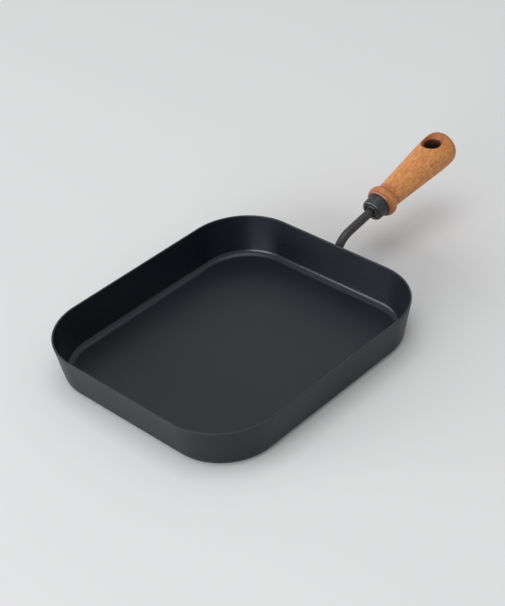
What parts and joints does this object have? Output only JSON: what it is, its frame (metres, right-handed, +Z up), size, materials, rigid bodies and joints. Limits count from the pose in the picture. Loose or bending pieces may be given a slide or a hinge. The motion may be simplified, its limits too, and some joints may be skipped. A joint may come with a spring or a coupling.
{
  "type": "rectangular pan",
  "caption": "Shallow rectangular pan of drawn sheet steel with rounded corners, a bent rod handle welded to one short wall and a turned wooden grip with a hanging hole.",
  "frame": {"origin": "centre of the pan's flat underside, where it rests on a hob or a table", "axes": "+X from the pan's middle towards the handle, +Y across the handle, +Z up, out of the pan's open side"},
  "size_m": [0.4234, 0.2278, 0.0788],
  "materials": {
    "coated_steel": "matte black heat-proof coating",
    "rod_steel": "matte black, faintly textured",
    "weld": "matte black over the weld's ripples",
    "collar_steel": "satin dark grey",
    "ferrule_steel": "satin black",
    "bush_steel": "turned",
    "wood": "oiled, satin, open grain along the grip"
  },
  "bodies": {
    "root": {"pan_body": "coated_steel", "handle_rod": "rod_steel", "left_weld": "weld", "right_weld": "weld", "stop_collar": "collar_steel", "ferrule": "ferrule_steel", "threaded_bush": "bush_steel", "wooden_grip": "wood"}
  },
  "joints": []
}
